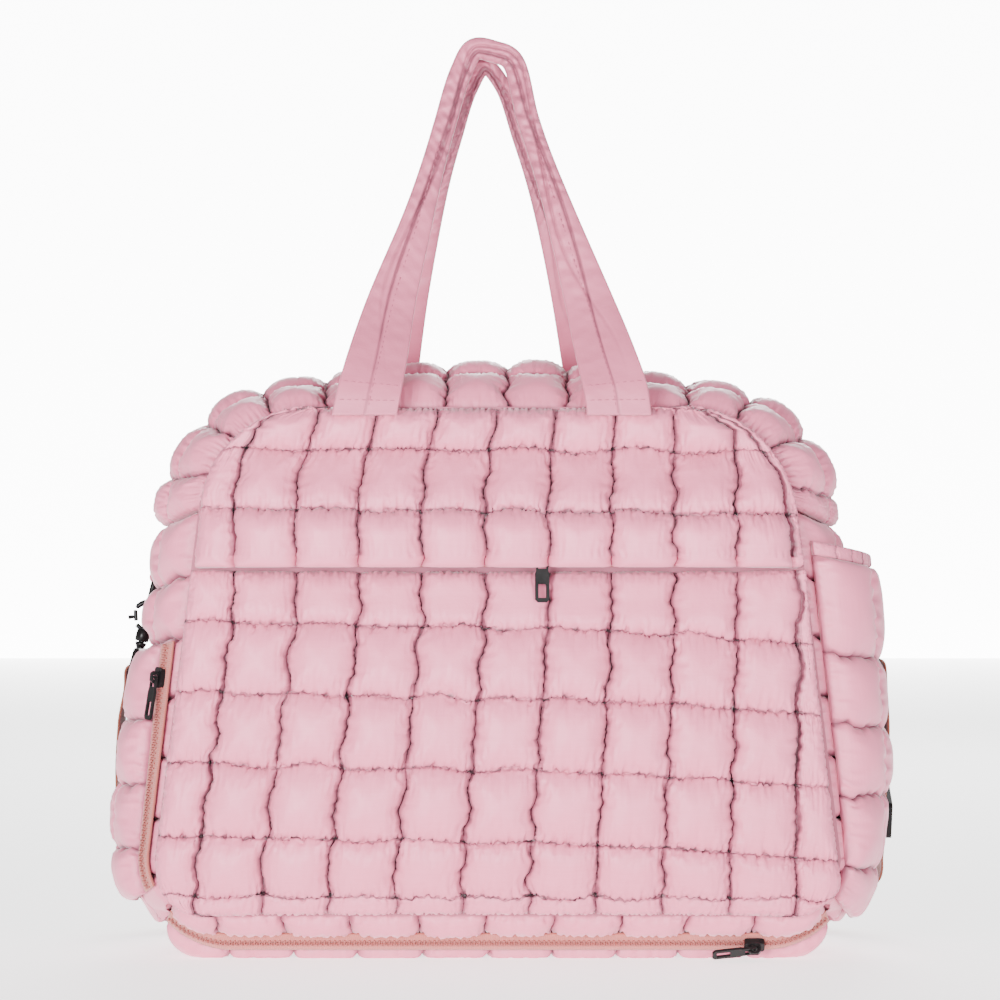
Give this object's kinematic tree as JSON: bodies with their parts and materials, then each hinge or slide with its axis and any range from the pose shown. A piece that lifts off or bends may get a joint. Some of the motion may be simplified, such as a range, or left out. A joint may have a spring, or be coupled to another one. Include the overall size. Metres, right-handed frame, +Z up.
{
  "type": "diaper bag",
  "caption": "Quilted puffer diaper bag with two carry handles, zipped top, flapped front pocket, zipped and open side pockets, zipped base compartment and clip-on shoulder strap.",
  "frame": {"origin": "centre of the flat base, on the surface that the bag stands on", "axes": "+X to the bag's right seen from the front, +Y to its back, +Z up towards the handles"},
  "size_m": [0.4799, 0.2655, 0.5453],
  "materials": {
    "quilt": "satin nylon, quilted over wadding",
    "lining": "matte woven lining",
    "strap_cloth": "satin nylon, folded and stitched",
    "tape": "woven zip tape",
    "webbing": "ribbed woven webbing",
    "board": "matte stiffener board",
    "black_metal": "black gloss plated zinc"
  },
  "bodies": {
    "bag": {"front_panel": "lining", "front_pocket_panel": "quilt", "front_flap": "quilt", "back_panel": "quilt", "right_gusset": "quilt", "left_gusset": "quilt", "top_gusset_front": "quilt", "top_gusset_back": "quilt", "base_front_strip": "quilt", "base_panel": "quilt", "base_board": "board", "compartment_floor": "lining", "main_zip_front_tape": "tape", "main_zip_back_tape": "tape", "front_zip_tape": "tape", "base_zip_tape": "tape", "left_pocket": "quilt", "left_zip_tape": "tape", "right_pocket": "quilt", "right_pocket_hem": "quilt", "right_ring_tab": "strap_cloth", "left_ring_tab": "strap_cloth", "strap_webbing": "webbing"},
    "front_handle": {"front_handle": "strap_cloth"},
    "back_handle": {"back_handle": "strap_cloth"},
    "main_slider": {"main_zip_slider": "black_metal"},
    "main_pull": {"main_zip_pull": "black_metal"},
    "front_slider": {"front_zip_slider": "black_metal"},
    "front_pull": {"front_zip_pull": "black_metal"},
    "base_slider": {"base_zip_slider": "black_metal"},
    "base_pull": {"base_zip_pull": "black_metal"},
    "left_slider": {"left_zip_slider": "black_metal"},
    "left_pull": {"left_zip_pull": "black_metal"},
    "right_ring": {"right_d_ring": "black_metal", "right_hook_eye": "black_metal", "strap_right_end": "webbing"},
    "right_hook": {"right_hook": "black_metal"},
    "right_gate": {"right_hook_gate": "black_metal"},
    "left_ring": {"left_d_ring": "black_metal", "left_hook_eye": "black_metal", "strap_left_end": "webbing"},
    "left_hook": {"left_hook": "black_metal"},
    "left_gate": {"left_hook_gate": "black_metal"},
    "adjuster": {"strap_adjuster": "black_metal"}
  },
  "joints": [
    {"name": "front_handle_swing", "type": "hinge", "parent": "bag", "child": "front_handle", "pos_m": [0, -0.0986, 0.3153], "axis": [1, 0, 0], "range_deg": [0, 165]},
    {"name": "back_handle_swing", "type": "hinge", "parent": "bag", "child": "back_handle", "pos_m": [0, 0.0974, 0.3153], "axis": [-1, 0, 0], "range_deg": [0, 165]},
    {"name": "main_zip_run", "type": "hinge", "parent": "bag", "child": "main_slider", "pos_m": [0, 0, -0.195], "axis": [0, -1, 0], "range_deg": [0, 20.48]},
    {"name": "main_pull_lift", "type": "hinge", "parent": "main_slider", "child": "main_pull", "pos_m": [0.09708, 0, 0.3424], "axis": [0, 1, 0], "range_deg": [0, 165]},
    {"name": "front_zip_run", "type": "slide", "parent": "bag", "child": "front_slider", "axis": [1, 0, 0], "range_m": [-0.1245, 0.0735]},
    {"name": "front_pull_lift", "type": "hinge", "parent": "front_slider", "child": "front_pull", "pos_m": [0.0255, -0.0981, 0.236], "axis": [-1, 0, 0], "range_deg": [0, 26]},
    {"name": "left_zip_run", "type": "slide", "parent": "bag", "child": "left_slider", "axis": [-0.1099, 0, -0.9939], "range_m": [-0.008, 0.1]},
    {"name": "left_pull_lift", "type": "hinge", "parent": "left_slider", "child": "left_pull", "pos_m": [-0.19992, -0.0728, 0.16691], "axis": [-0.5061, 0.8607, 0.056], "range_deg": [0, 150]},
    {"name": "base_zip_run", "type": "slide", "parent": "bag", "child": "base_slider", "axis": [-1, 0, 0], "range_m": [0, 0.3]},
    {"name": "base_pull_lift", "type": "hinge", "parent": "base_slider", "child": "base_pull", "pos_m": [0.15, -0.06282, 0.00671], "axis": [0, 0.7801, -0.6257], "range_deg": [0, 7]},
    {"name": "right_ring_swing", "type": "hinge", "parent": "bag", "child": "right_ring", "pos_m": [0.2075, 0.05, 0.223], "axis": [0, -1, 0], "range_deg": [0, 12]},
    {"name": "right_hook_swivel", "type": "hinge", "parent": "right_ring", "child": "right_hook", "pos_m": [0.22377, 0.05, 0.18646], "axis": [-0.4067, 0, 0.9135], "range_deg": [-10, 10]},
    {"name": "right_gate_press", "type": "hinge", "parent": "right_hook", "child": "right_gate", "pos_m": [0.22527, 0.05, 0.19653], "axis": [0, 1, 0], "range_deg": [-22, 0], "stiffness_Nm_per_rad": 0.01, "springref_deg": 17.19},
    {"name": "left_ring_swing", "type": "hinge", "parent": "bag", "child": "left_ring", "pos_m": [-0.2085, 0.05, 0.223], "axis": [0, 1, 0], "range_deg": [0, 12]},
    {"name": "left_hook_swivel", "type": "hinge", "parent": "left_ring", "child": "left_hook", "pos_m": [-0.21818, 0.05, 0.18419], "axis": [0.2419, 0, 0.9703], "range_deg": [-10, 10]},
    {"name": "left_gate_press", "type": "hinge", "parent": "left_hook", "child": "left_gate", "pos_m": [-0.2214, 0.05, 0.19384], "axis": [0, -1, 0], "range_deg": [-22, 0], "stiffness_Nm_per_rad": 0.01, "springref_deg": 17.19},
    {"name": "adjuster_run", "type": "slide", "parent": "right_ring", "child": "adjuster", "axis": [0, -0.4287, 0.9034], "range_m": [-0.008, 0.022]}
  ]
}
